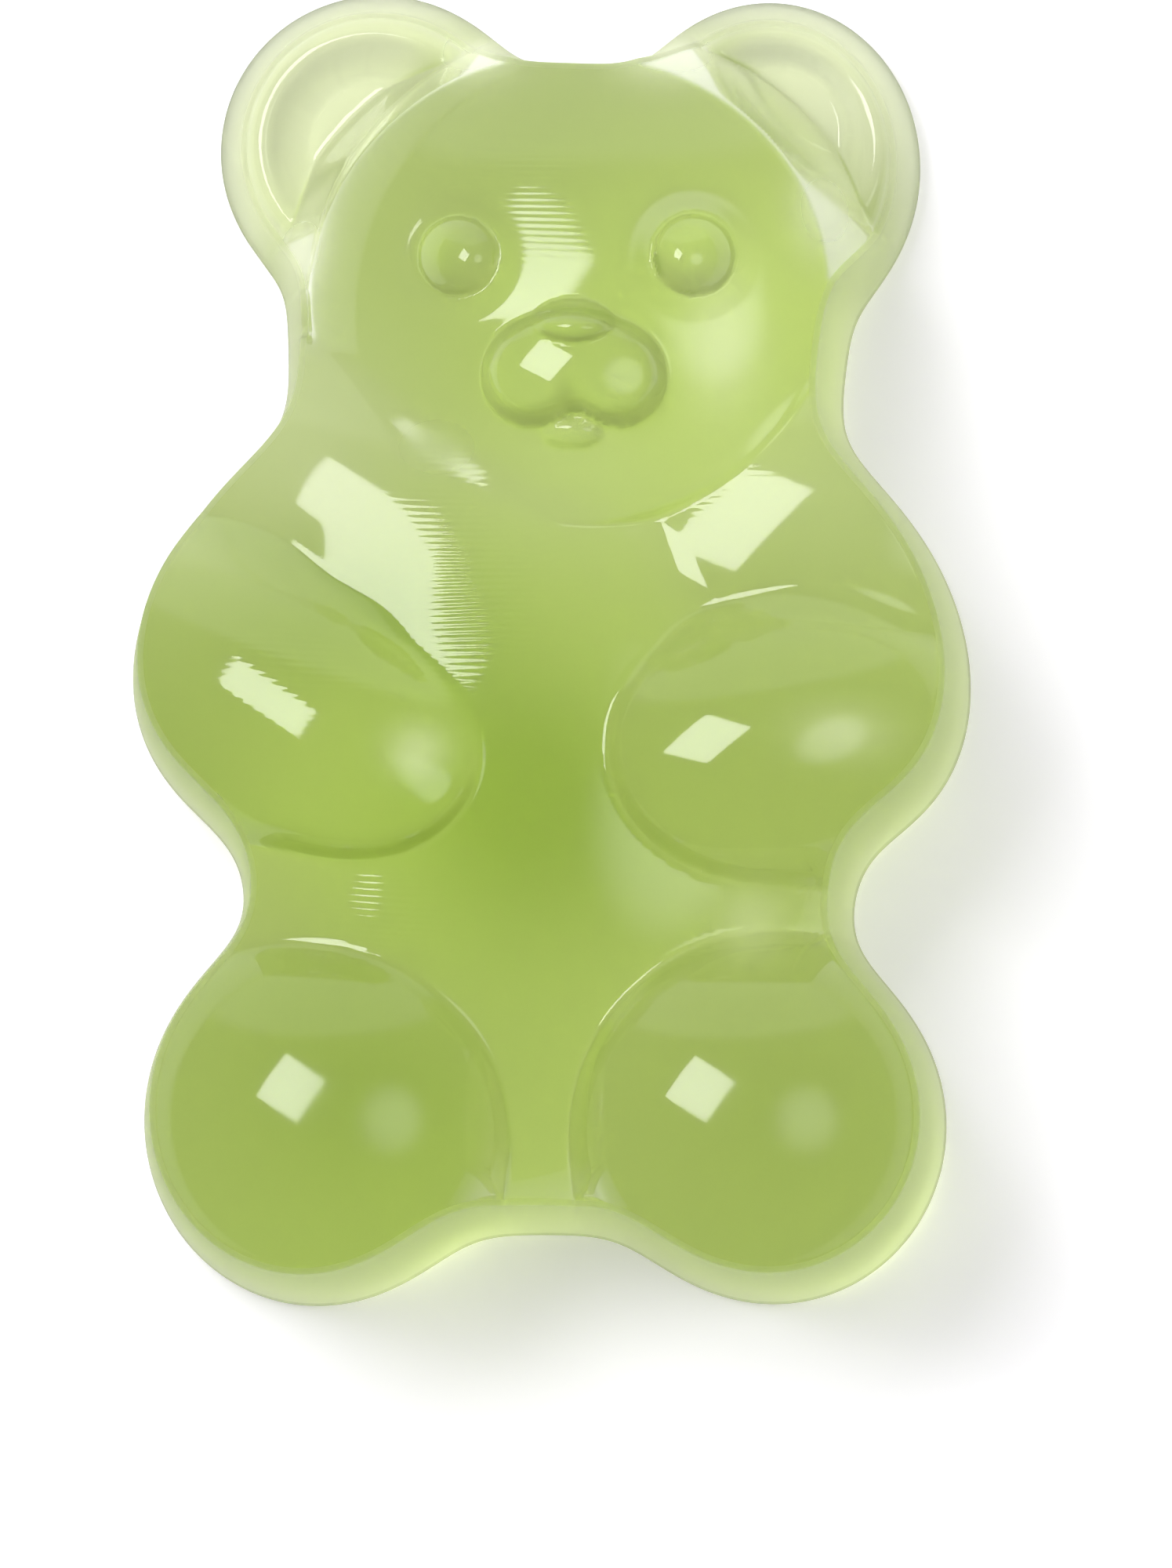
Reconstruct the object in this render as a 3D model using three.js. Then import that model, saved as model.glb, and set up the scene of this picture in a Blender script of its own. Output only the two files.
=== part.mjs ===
// A gummy bear: one piece of set jelly, cast face down in an open mould and lying on its flat back.
// Millimetres. +X points to the bear's left hand, +Y from the feet to the ears, and +Z out of the belly.
// The origin is the middle of the flat back.

import * as THREE from "three";
import { mergeVertices } from "three/addons/utils/BufferGeometryUtils.js";

// ---- Outline: ovals whose joined shadow is the bear's edge (centre, half width, half length, turn) ----
const HEAD = { x: 0.15, y: 5.58, across: 4.66, along: 4.35 };
const TRUNK = { x: 0.1, y: -2.3, across: 5.04, along: 7.31 };
const UPPER_ARMS = [
  { x: -3.11, y: 0.5, across: 3.23, along: 4.26, turn: -52.5 },
  { x: 4.24, y: 0.39, across: 2.57, along: 3.48, turn: 30 },
];
const FEET = [
  { x: -3.73, y: -7.91, across: 2.91, along: 3.12 },
  { x: 3.99, y: -7.84, across: 2.87, along: 2.96 },
];
const EARS = [
  { x: -3.11, y: 8.42, across: 2.68, along: 2.66 },
  { x: 3.45, y: 8.3, across: 2.56, along: 2.82 },
];
const BODY_FILLET = 0.6; // how softly one lump of the body runs into the next
const EAR_FILLET = 0.3; // the same where the ears leave the head

// ---- Side wall and back ----
const BACK_ROUND = 0.6; // rounding where the flat back turns into the side wall
const WALL_DRAFT = 0.38; // how far the side wall leans in from its foot to its top
const EDGE_WIDTH = 0.5; // how far in the front starts, above the rounded upper edge of the wall
const EDGE_DROP = 0.2; // height of that rounded edge
const EDGE_SWEEP = 45; // degrees that it turns through
const LEDGE = 1.9; // lowest level of the front, between the raised lumps
const FLANK_SLOPE = 4; // steepness of the sides of the lumps, as rise over run

// ---- Raised lumps of the front: oval, level at its edge and height of the dome on it ----
const BELLY = { x: -1.2, y: -2.7, across: 6.5, along: 7, foot: 5.1, rise: 3.3 };
const SHOULDERS = [
  { x: -0.9, y: 0.65, across: 6.1, along: 3.4, turn: -33, foot: 5.6, rise: 2.5 },
  { x: 4.4, y: 1.85, across: 4.1, along: 3.15, turn: 30, foot: 6, rise: 1.8 },
];
const FACE = { x: 0.75, y: 5.5, across: 4.9, along: 5.1, foot: 5.1, rise: 3.5 };
const SOLES = [
  { x: -3.36, y: -8.03, across: 3.6, along: 3.6, foot: 5.7, rise: 3.6 },
  { x: 3.48, y: -7.85, across: 3.6, along: 3.5, foot: 5.7, rise: 3.5 },
];
const ARMS = [
  { x: -3.4, y: -1.85, across: 5.3, along: 2.9, turn: -33, foot: 5.5, rise: 3.7 },
  { x: 3.5, y: -1.8, across: 4.1, along: 2.9, turn: 20, foot: 5.6, rise: 3.5 },
];

// ---- Footprints of face, soles and arms, outside which their sides fall steeply away ----
const FACE_PRINT = [{ x: 0.3, y: 5.8, across: 4.3, along: 3.9 }];
const SOLE_PRINTS = [
  [{ x: -3.62, y: -7.92, across: 3.2, along: 3.2 }],
  [{ x: 3.92, y: -7.82, across: 3.05, along: 3.05 }],
];
const ARM_PRINTS = [
  [
    { x: -2.9, y: -1.6, across: 2.1, along: 2.1 },
    { x: -5.6, y: -0.4, across: 1.9, along: 3.2, turn: 8 },
  ],
  [
    { x: 3.3, y: -1.58, across: 2.15, along: 2.15 },
    { x: 5.8, y: -0.4, across: 1.9, along: 3.2, turn: -8 },
  ],
];
const ARM_FILLET = 0.6; // between the paw and the upper arm of a footprint
const CHIN_BLEND = 0.45; // how softly the face runs into the chest
const LIMB_CREASE = 0.2; // rounding of the folds along arms and legs
const SHOULDER_FOLD = 1.6; // the same where an arm leaves the shoulder
const SHOULDER_FROM = -0.2; // where along the body the fold starts to soften
const SHOULDER_TO = 2.2; // where it is softest

// ---- Ears: thin dished plates, each with a sunken disc ----
const EAR_TOP = 2.6; // crest of the raised rim
const EAR_RIM_ROUND = 0.45;
const EAR_DISH = 0.7; // depth of the dish below the rim
const EAR_RING = 1.95; // radius of the crest around the disc
const EAR_DISCS = [
  { x: -3.22, y: 8.45, radius: 1.06 },
  { x: 3.63, y: 8.83, radius: 1.08 },
];
const EAR_DISC_STEP = 0.3;
const EAR_STEP_WIDTH = 0.1;
const EAR_CREASE = 0.12;

// ---- Face: two lobes under a nose, a small lip and two eyes ----
const MUZZLE = [
  { x: -0.26, y: 4.31, across: 0.86, along: 0.86 },
  { x: 1.2, y: 4.33, across: 0.86, along: 0.86 },
  { x: 0.44, y: 4.74, across: 1.1, along: 0.72 },
];
const MUZZLE_FILLET = 0.14;
const MUZZLE_CREASE = 0.08;
const MUZZLE_SIDE = 0.9; // height of the muzzle's rounded side
const MUZZLE_ROUND = 0.4; // width of that side
const MUZZLE_DOME = { x: 0.45, y: 4.34, across: 1.95, along: 1.7, foot: 8.05, rise: 1.3 };
const NOSE = { x: 0.43, y: 5.19, across: 0.67, along: 0.38, rise: 0.36 };
const LIP = { x: 0.43, y: 3.36, across: 0.52, along: 0.26, rise: 0.25 };
const EYES = [
  { x: -1.54, y: 6.27, across: 0.66, along: 0.66, rise: 0.5 },
  { x: 2.38, y: 6.37, across: 0.68, along: 0.68, rise: 0.52 },
];
const SOCKET_DEPTH = 0.12;
const SOCKET_WIDTH = 0.3; // how far the dent around an eye reaches

// ---- Fineness of the surface ----
const CELLS_ACROSS = 50;
const CELLS_ALONG = 78;
const WALL_RINGS = 2;
const ROUND_RINGS = 3;
const EDGE_RINGS = 2;
const EDGE_STEPS = 2880; // points of the finely worked edge that the grid is taken from
const CROWDING = 0.45; // how much closer the grid lines run over the face
const CROWD_ACROSS = { middle: 0.5, reach: 0.2 };
const CROWD_ALONG = { middle: 0.735, reach: 0.11 };

const clamp01 = (value) => Math.min(Math.max(value, 0), 1);

// Offset from a lump's centre along its two axes, in half widths and half lengths.
function shares(x, y, lump) {
  const turn = THREE.MathUtils.degToRad(lump.turn ?? 0);
  const dx = x - lump.x;
  const dy = y - lump.y;
  return {
    across: (dx * Math.cos(turn) + dy * Math.sin(turn)) / lump.across,
    along: (dy * Math.cos(turn) - dx * Math.sin(turn)) / lump.along,
  };
}

// Distance from an ellipse, to first order: negative inside it.
function gap(x, y, lump) {
  const { across, along } = shares(x, y, lump);
  const reach = Math.hypot(across, along);
  const slope = Math.hypot(across / lump.across, along / lump.along);
  return slope === 0 ? -Math.min(lump.across, lump.along) : (reach * (reach - 1)) / slope;
}

// Joins shapes given by their distances, with a fillet of about the given size between them.
function join(distances, fillet) {
  const nearest = Math.min(...distances);
  const sum = distances.reduce((total, d) => total + Math.exp((nearest - d) / fillet), 0);
  return nearest - fillet * Math.log(sum);
}

// The higher of two levels, with the crease between them rounded over the given height.
function higher(a, b, crease) {
  const overlap = Math.max(crease - Math.abs(a - b), 0) / crease;
  return Math.max(a, b) + (overlap * overlap * crease) / 4;
}

// Rise of a quarter round, from 0 at its edge to 1 at the given share of the way in.
const quarterRound = (share) => Math.sqrt(1 - (1 - clamp01(share)) ** 2);

// Height of a dome over an oval, from 0 at its edge to 1 in the middle.
function dome(x, y, lump) {
  const { across, along } = shares(x, y, lump);
  return Math.sqrt(Math.max(1 - across ** 2 - along ** 2, 0));
}

const outlineGap = (x, y) => {
  const body = [HEAD, TRUNK, ...UPPER_ARMS, ...FEET].map((lump) => gap(x, y, lump));
  return join([join(body, BODY_FILLET), ...EARS.map((lump) => gap(x, y, lump))], EAR_FILLET);
};

// A raised lump: a dome whose sides fall steeply away outside its footprint.
function lumpLevel(x, y, lump, footprint = [lump]) {
  const ovals = footprint.map((oval) => gap(x, y, oval));
  const outside = Math.max(join(ovals, ARM_FILLET), 0);
  return lump.foot + lump.rise * dome(x, y, lump) - FLANK_SLOPE * outside;
}

function earLevel(x, y) {
  const inside = -outlineGap(x, y) - EDGE_WIDTH;
  const sunk = EAR_DISCS.map((disc) => {
    const radius = Math.hypot(x - disc.x, y - disc.y);
    const dish = EAR_DISH * clamp01((EAR_RING - radius) / (EAR_RING - disc.radius)) ** 1.5;
    return dish + EAR_DISC_STEP * clamp01((disc.radius - radius) / EAR_STEP_WIDTH);
  });
  return EAR_TOP + EAR_RIM_ROUND * (quarterRound(inside / EAR_RIM_ROUND) - 1) - Math.max(...sunk);
}

// The muzzle: a dome whose rounded side follows the joined lobes.
function muzzleLevel(x, y) {
  const lobes = MUZZLE.map((lobe) => gap(x, y, lobe));
  const outside = join(lobes, MUZZLE_FILLET);
  const side = MUZZLE_SIDE * (1 - quarterRound(-outside / MUZZLE_ROUND));
  const top = MUZZLE_DOME.foot + MUZZLE_DOME.rise * dome(x, y, MUZZLE_DOME);
  return top - side - FLANK_SLOPE * Math.max(outside, 0);
}

// Eyes, nose and lip, as height over the head.
function featureRise(x, y) {
  let rise = 0;
  for (const bump of [NOSE, LIP, ...EYES]) rise += bump.rise * dome(x, y, bump);
  for (const eye of EYES) rise -= SOCKET_DEPTH * Math.exp(-((gap(x, y, eye) / SOCKET_WIDTH) ** 2));
  return rise;
}

// Level of the front over a point of the back.
function frontLevel(x, y) {
  let level = lumpLevel(x, y, BELLY);
  for (const shoulder of SHOULDERS) level = higher(level, lumpLevel(x, y, shoulder), CHIN_BLEND);
  level = higher(level, lumpLevel(x, y, FACE, FACE_PRINT), CHIN_BLEND);
  level = higher(level, LEDGE, LIMB_CREASE);
  level = higher(level, earLevel(x, y), EAR_CREASE);
  const softness = clamp01((y - SHOULDER_FROM) / (SHOULDER_TO - SHOULDER_FROM));
  const fold = THREE.MathUtils.lerp(LIMB_CREASE, SHOULDER_FOLD, softness);
  ARMS.forEach((arm, side) => {
    level = higher(level, lumpLevel(x, y, arm, ARM_PRINTS[side]), fold);
  });
  SOLES.forEach((sole, side) => {
    level = higher(level, lumpLevel(x, y, sole, SOLE_PRINTS[side]), LIMB_CREASE);
  });
  return higher(level, muzzleLevel(x, y), MUZZLE_CREASE) + featureRise(x, y);
}

// ---- The edge as a closed curve ----

// Distance from the origin to the outline in one direction, by halving.
function outlineRadius(angle) {
  let inner = 0;
  let outer = 14;
  for (let pass = 0; pass < 40; pass += 1) {
    const middle = (inner + outer) / 2;
    if (outlineGap(middle * Math.cos(angle), middle * Math.sin(angle)) < 0) inner = middle;
    else outer = middle;
  }
  return inner;
}

const edgeCurve = Array.from({ length: EDGE_STEPS }, (_, step) => {
  const angle = (step / EDGE_STEPS) * 2 * Math.PI;
  const radius = outlineRadius(angle);
  return new THREE.Vector2(radius * Math.cos(angle), radius * Math.sin(angle));
});

// Shares of a side at which its grid lines end, closer together around the given middle.
function gridShares(cells, { middle, reach }) {
  const ends = [0];
  for (let cell = 0; cell < cells; cell += 1) {
    const offset = ((cell + 0.5) / cells - middle) / reach;
    ends.push(ends[cell] + 1 - CROWDING * Math.exp(-offset * offset));
  }
  return ends.map((end) => end / ends[cells]);
}

const acrossShares = gridShares(CELLS_ACROSS, CROWD_ACROSS);
const alongShares = gridShares(CELLS_ALONG, CROWD_ALONG);

// Points on the edge between two directions in degrees, at the given shares of its length.
function edgeRun(fromDegrees, toDegrees, ends) {
  const first = Math.round((fromDegrees / 360) * EDGE_STEPS);
  const last = Math.round((toDegrees / 360) * EDGE_STEPS);
  const way = Math.sign(last - first);
  const points = [];
  for (let step = first; step !== last + way; step += way)
    points.push(edgeCurve[(step + 2 * EDGE_STEPS) % EDGE_STEPS]);
  const lengths = [0];
  for (let i = 1; i < points.length; i += 1)
    lengths.push(lengths[i - 1] + points[i].distanceTo(points[i - 1]));
  const total = lengths[lengths.length - 1];
  let i = 0;
  return ends.map((share) => {
    while (i < lengths.length - 2 && lengths[i + 1] < total * share) i += 1;
    const within = (total * share - lengths[i]) / (lengths[i + 1] - lengths[i]);
    return points[i].clone().lerp(points[i + 1], clamp01(within));
  });
}

// The edge moved inwards by a distance.
function inset(point, depth) {
  const step = 1e-3;
  const outward = new THREE.Vector2(
    outlineGap(point.x + step, point.y) - outlineGap(point.x - step, point.y),
    outlineGap(point.x, point.y + step) - outlineGap(point.x, point.y - step),
  ).normalize();
  return point.clone().addScaledVector(outward, -depth);
}

// Corners of the surface grid: the outer lower edge of each foot and the outer upper edge of each ear.
const CORNERS = { leftFoot: 236, rightFoot: 304, rightEar: 62, leftEar: 118 };
const bottom = edgeRun(CORNERS.leftFoot, CORNERS.rightFoot, acrossShares);
const top = edgeRun(CORNERS.leftEar, CORNERS.rightEar, acrossShares);
const left = edgeRun(CORNERS.leftFoot, CORNERS.leftEar, alongShares);
const right = edgeRun(CORNERS.rightFoot - 360, CORNERS.rightEar, alongShares);

// Fills the top of the side wall with a grid of points: a blend of its four sides.
function frontGrid() {
  const sides = [bottom, top, left, right];
  const [low, high, west, east] = sides.map((side) => side.map((point) => inset(point, EDGE_WIDTH)));
  return alongShares.map((v, row) =>
    acrossShares.map((u, column) => {
      const point = new THREE.Vector2();
      point.addScaledVector(west[row], 1 - u).addScaledVector(east[row], u);
      point.addScaledVector(low[column], 1 - v).addScaledVector(high[column], v);
      point.addScaledVector(low[0], (u - 1) * (1 - v)).addScaledVector(low[CELLS_ACROSS], -u * (1 - v));
      point.addScaledVector(high[0], (u - 1) * v).addScaledVector(high[CELLS_ACROSS], -u * v);
      return new THREE.Vector3(point.x, point.y, frontLevel(point.x, point.y));
    }),
  );
}

// The side wall as rings round the bear, from the edge of the flat back up to the edge of the front.
function wallRings() {
  const edge = [
    ...bottom.slice(0, -1),
    ...right.slice(0, -1),
    ...top.slice(1).reverse(),
    ...left.slice(1).reverse(),
  ];
  const crest = edge.map((point) => {
    const inner = inset(point, EDGE_WIDTH);
    return frontLevel(inner.x, inner.y);
  });
  const ring = (depth, levelUnder) =>
    edge.map((point, i) => new THREE.Vector3(...inset(point, depth), levelUnder(crest[i])));
  const rings = [];
  for (let step = 0; step <= ROUND_RINGS; step += 1) {
    const angle = ((step / ROUND_RINGS) * Math.PI) / 2;
    rings.push(ring(BACK_ROUND * (1 - Math.sin(angle)), () => BACK_ROUND * (1 - Math.cos(angle))));
  }
  for (let step = 1; step <= WALL_RINGS; step += 1) {
    const share = step / WALL_RINGS;
    rings.push(ring(WALL_DRAFT * share, (top) => THREE.MathUtils.lerp(BACK_ROUND, top - EDGE_DROP, share)));
  }
  const sweep = THREE.MathUtils.degToRad(EDGE_SWEEP);
  for (let step = 1; step <= EDGE_RINGS; step += 1) {
    const angle = (step / EDGE_RINGS) * sweep;
    const inward = (1 - Math.cos(angle)) / (1 - Math.cos(sweep));
    const below = 1 - Math.sin(angle) / Math.sin(sweep);
    const depth = THREE.MathUtils.lerp(WALL_DRAFT, EDGE_WIDTH, inward);
    rings.push(ring(depth, (top) => top - EDGE_DROP * below));
  }
  return rings;
}

// Cuts the flat back, the side wall and the front into triangles, each facing out.
function bearTriangles() {
  const corners = [];
  const addTriangle = (...points) => points.forEach((p) => corners.push(p.x, p.y, p.z));
  // A patch of four corners is split along its shorter diagonal.
  const addPatch = (a, b, c, d) => {
    const alongAC = a.distanceTo(c) <= b.distanceTo(d);
    addTriangle(a, b, alongAC ? c : d);
    addTriangle(alongAC ? a : b, c, d);
  };
  const front = frontGrid();
  for (let row = 0; row < CELLS_ALONG; row += 1)
    for (let column = 0; column < CELLS_ACROSS; column += 1) {
      const [near, far] = [front[row], front[row + 1]];
      addPatch(near[column], near[column + 1], far[column + 1], far[column]);
    }
  const rings = wallRings();
  for (let ring = 0; ring + 1 < rings.length; ring += 1)
    for (let i = 0; i < rings[0].length; i += 1) {
      const next = (i + 1) % rings[0].length;
      addPatch(rings[ring][i], rings[ring][next], rings[ring + 1][next], rings[ring + 1][i]);
    }
  const back = rings[0];
  const backOutline = back.map((point) => new THREE.Vector2(point.x, point.y));
  for (const [a, b, c] of THREE.ShapeUtils.triangulateShape(backOutline, []))
    addTriangle(back[a], back[c], back[b]);
  return corners;
}

function bearGeometry() {
  const shell = new THREE.BufferGeometry();
  shell.setAttribute("position", new THREE.Float32BufferAttribute(bearTriangles(), 3));
  const geometry = mergeVertices(shell, 1e-4);
  geometry.computeVertexNormals();
  return geometry;
}

const jelly = new THREE.MeshStandardMaterial({ color: 0xa6c46a, roughness: 0.18, metalness: 0 });
const bear = new THREE.Mesh(bearGeometry(), jelly);
bear.name = "gummy_bear";

const gummyBear = new THREE.Group();
gummyBear.add(bear);

export default gummyBear;
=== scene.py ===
"""Dresses the gummy bear: a finely worked jelly surface, its finish, and a pale table with soft light.

Everything is in metres in the frame of the solid model: +X to the bear's left hand, +Y from the feet to
the ears, +Z out of the belly, with the origin in the middle of the flat back. The lumps that make up the
bear are given in millimetres, and so are the functions that work out its surface.
"""

import math

import bpy
import numpy as np
from bpy.props import FloatProperty, FloatVectorProperty, IntProperty, PointerProperty
from mathutils import Matrix, Vector


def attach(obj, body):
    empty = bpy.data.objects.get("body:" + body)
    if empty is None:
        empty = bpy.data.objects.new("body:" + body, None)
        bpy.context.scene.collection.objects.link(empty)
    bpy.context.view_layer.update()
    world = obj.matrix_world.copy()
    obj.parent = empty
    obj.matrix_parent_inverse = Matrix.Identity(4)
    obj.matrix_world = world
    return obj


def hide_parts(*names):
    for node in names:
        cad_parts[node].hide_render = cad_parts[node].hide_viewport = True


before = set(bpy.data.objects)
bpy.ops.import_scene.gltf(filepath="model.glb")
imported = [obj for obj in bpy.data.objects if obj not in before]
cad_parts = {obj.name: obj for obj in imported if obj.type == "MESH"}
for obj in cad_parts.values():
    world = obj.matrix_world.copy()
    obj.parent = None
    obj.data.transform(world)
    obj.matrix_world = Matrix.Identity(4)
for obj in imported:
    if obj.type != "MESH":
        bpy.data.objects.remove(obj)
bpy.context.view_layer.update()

bl_info = {
    "name": "Gummy bear",
    "version": (1, 0, 0),
    "blender": (4, 5, 0),
    "location": "3D Viewport > Sidebar > Gummy bear",
    "description": "Builds a moulded jelly bear with its finish, table, light and camera",
    "category": "Object",
}

MM = 0.001
TINY = 1e-9  # keeps a division clear of zero
WHITE = (1.0, 1.0, 1.0, 1.0)

# ---- Outline: ovals whose joined shadow is the bear's edge (centre, half width, half length, turn) ----
HEAD = dict(x=0.15, y=5.58, across=4.66, along=4.35)
TRUNK = dict(x=0.1, y=-2.3, across=5.04, along=7.31)
UPPER_ARMS = [
    dict(x=-3.11, y=0.5, across=3.23, along=4.26, turn=-52.5),
    dict(x=4.24, y=0.39, across=2.57, along=3.48, turn=30.0),
]
FEET = [
    dict(x=-3.73, y=-7.91, across=2.91, along=3.12),
    dict(x=3.99, y=-7.84, across=2.87, along=2.96),
]
EARS = [
    dict(x=-3.11, y=8.42, across=2.68, along=2.66),
    dict(x=3.45, y=8.3, across=2.56, along=2.82),
]

# ---- Raised lumps of the front: oval, level at its edge and height of the dome on it ----
BELLY = dict(x=-1.2, y=-2.7, across=6.5, along=7.0, foot=5.1, rise=3.3)
SHOULDERS = [
    dict(x=-0.9, y=0.65, across=6.1, along=3.4, turn=-33.0, foot=5.6, rise=2.5),
    dict(x=4.4, y=1.85, across=4.1, along=3.15, turn=30.0, foot=6.0, rise=1.8),
]
FACE = dict(x=0.75, y=5.5, across=4.9, along=5.1, foot=5.1, rise=3.5)
SOLES = [
    dict(x=-3.36, y=-8.03, across=3.6, along=3.6, foot=5.7, rise=3.6),
    dict(x=3.48, y=-7.85, across=3.6, along=3.5, foot=5.7, rise=3.5),
]
ARMS = [
    dict(x=-3.4, y=-1.85, across=5.3, along=2.9, turn=-33.0, foot=5.5, rise=3.7),
    dict(x=3.5, y=-1.8, across=4.1, along=2.9, turn=20.0, foot=5.6, rise=3.5),
]

# ---- Footprints of face, soles and arms, outside which their sides fall steeply away ----
FACE_PRINT = [dict(x=0.3, y=5.8, across=4.3, along=3.9)]
SOLE_PRINTS = [
    [dict(x=-3.62, y=-7.92, across=3.2, along=3.2)],
    [dict(x=3.92, y=-7.82, across=3.05, along=3.05)],
]
ARM_PRINTS = [
    [dict(x=-2.9, y=-1.6, across=2.1, along=2.1), dict(x=-5.6, y=-0.4, across=1.9, along=3.2, turn=8.0)],
    [dict(x=3.3, y=-1.58, across=2.15, along=2.15), dict(x=5.8, y=-0.4, across=1.9, along=3.2, turn=-8.0)],
]
FLANK_SLOPE = 4.0  # rise over run of those sides
SOFT_FROM = -0.2  # where along the body the fold of an arm starts to soften
SOFT_TO = 2.2  # where it is softest

# ---- Ears and face: sunken discs, two lobes under a nose, a small lip and two eyes ----
EAR_DISCS = [dict(x=-3.22, y=8.45, radius=1.06), dict(x=3.63, y=8.83, radius=1.08)]
MUZZLE = [
    dict(x=-0.26, y=4.31, across=0.86, along=0.86),
    dict(x=1.2, y=4.33, across=0.86, along=0.86),
    dict(x=0.44, y=4.74, across=1.1, along=0.72),
]
MUZZLE_DOME = dict(x=0.45, y=4.34, across=1.95, along=1.7, foot=8.05, rise=1.3)
NOSE = dict(x=0.43, y=5.19, across=0.67, along=0.38, rise=0.36)
LIP = dict(x=0.43, y=3.36, across=0.52, along=0.26, rise=0.25)
EYES = [
    dict(x=-1.54, y=6.27, across=0.66, along=0.66, rise=0.36),
    dict(x=2.38, y=6.37, across=0.68, along=0.68, rise=0.38),
]

# ---- Grid of the surface ----
CORNERS = dict(left_foot=236, right_foot=304, right_ear=62, left_ear=118)  # directions from the origin
EDGE_STEPS = 5760  # points of the finely worked edge that the grid is taken from
EDGE_SWEEP = 45.0  # degrees that the rounded upper edge turns through
OUTER_REACH = 14.0  # farther from the origin than any point of the edge
HALVINGS = 40  # how often the distance to the edge is halved
NUDGE = 1e-3  # step over which the edge's direction is measured
BACK_MARGIN = 0.1  # how far inside the back's edge a ring of points keeps its shading flat
CROWDING = 0.4  # how much closer the grid lines run over the face
CROWD_ACROSS = dict(middle=0.5, reach=0.2)
CROWD_ALONG = dict(middle=0.735, reach=0.12)

# ---- Finish: round soft spots of the jelly in millimetres (centre, radii) and how strong each is; among them painted shade and painted highlights ----
# Painted shade: a darker green tint laid over the belly between the arms, both upper arms, the legs and feet,
# the face and the folds where the ears meet the head.
PAINTED_SHADE_SPOTS = [
    dict(x=-0.5, y=-2.5, across=2.3, along=2.4, share=0.95),
    dict(x=-3.4, y=0.2, across=2.2, along=1.4, share=0.9),
    dict(x=-2.7, y=-7.9, across=1.2, along=1.1, share=0.35),
    dict(x=4.4, y=-7.9, across=1.0, along=1.0, share=0.25),
    dict(x=0.2, y=-7.4, across=1.4, along=1.8, share=0.2),
    dict(x=4.2, y=0.0, across=2.2, along=1.5, share=0.25),
    dict(x=-3.4, y=-7.4, across=2.4, along=2.2, share=0.3),
    dict(x=3.6, y=-7.2, across=1.8, along=1.8, share=0.1),
    dict(x=-0.6, y=6.6, across=3.4, along=2.6, share=0.25),
    dict(x=-1.4, y=10.0, across=0.7, along=0.6, share=1.3),
    dict(x=1.8, y=10.0, across=0.8, along=0.6, share=1.2),
    dict(x=4.5, y=7.3, across=0.6, along=0.9, share=1.0),
    dict(x=-4.3, y=6.5, across=0.5, along=0.7, share=0.9),
]
# Milky bloom, mostly painted light: painted highlights on the right cheek, both arms and the right waist, a
# painted sheen on the neck and chin, and milky patches where the ears meet the head.
BLOOM_AND_HIGHLIGHT_SPOTS = [
    dict(x=-4.2, y=3.2, across=2.0, along=2.0, share=0.1),
    dict(x=4.8, y=2.8, across=1.8, along=1.8, share=0.05),
    dict(x=0.6, y=2.6, across=2.2, along=1.2, share=0.06),
    dict(x=-1.93, y=-1.98, across=0.5, along=0.45, share=0.2),
    dict(x=5.1, y=-1.5, across=0.8, along=0.45, share=0.15),
    dict(x=2.9, y=4.9, across=0.65, along=1.1, share=0.2),
    dict(x=3.6, y=-4.6, across=0.6, along=0.6, share=0.16),
    dict(x=-1.4, y=10.0, across=0.7, along=0.6, share=0.45),
    dict(x=1.8, y=10.0, across=0.8, along=0.6, share=0.45),
    dict(x=4.5, y=7.3, across=0.5, along=0.8, share=0.35),
    dict(x=-4.3, y=6.5, across=0.5, along=0.7, share=0.4),
]
DULL_SPOTS = [
    dict(x=-2.4, y=-8.2, across=1.2, along=1.2, share=0.16),
    dict(x=4.6, y=-8.1, across=1.2, along=1.2, share=0.16),
    dict(x=-0.2, y=6.5, across=0.8, along=0.9, share=0.16),
    dict(x=-1.8, y=3.1, across=0.7, along=0.5, share=0.45),
]
RIPPLE_SPOTS = [
    dict(x=-1.2, y=0.5, across=0.8, along=1.0, share=2.5),
    dict(x=-1.7, y=2.2, across=0.6, along=0.8, share=1.2),
    dict(x=-0.3, y=6.9, across=0.7, along=0.7, share=1.8),
    dict(x=-2.7, y=-4.6, across=0.9, along=0.7, share=1.5),
    dict(x=-4.0, y=-0.6, across=1.2, along=0.8, share=0.5),
    dict(x=3.0, y=2.4, across=0.6, along=0.5, share=1.0),
]
RIPPLE_PITCH = 0.1122  # from one ripple to the next
RIPPLE_BEND = 26.0  # radians by which the noise shifts the ripples
NOISE_SCALE = 260.0  # waves per metre of the noise that bends ripples and bloom
# The bloom rises from the legs to the head as painted light: the upper body is painted lighter as if lit from
# above.
PAINTED_LIGHT_FROM = -2.8  # where along the body the bloom starts to rise
PAINTED_LIGHT_TO = 3.8  # where it has risen to the head's
PAINTED_LIGHT_BEND = 0.6  # how far the noise shifts that rise
MOTTLE_SCALE = 60.0  # waves per metre of the table's mottle

# ---- Light: directions as azimuth from +X and angle from +Z, in degrees ----
WINDOW = dict(azimuth=147.0, off_vertical=23.0, distance=200.0)
WALL = dict(azimuth=93.0, off_vertical=90.0, dark_from=50.0, bright_to=42.0)
LAMP = dict(azimuth=0.0, off_vertical=36.0, dark_from=20.0, bright_to=8.0)

# ---- Camera: the point it looks at, along the picture's right and up, and how far it leans from upright ----
LOOK_AT = dict(right=0.595, up=-2.156, level=0.8)
LEAN_RIGHT = 1.3
LEAN_DOWN = 2.3
SENSOR_HEIGHT = 24.0
TABLE_GAP = 0.02  # keeps the table top just clear of the bear's back


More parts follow.
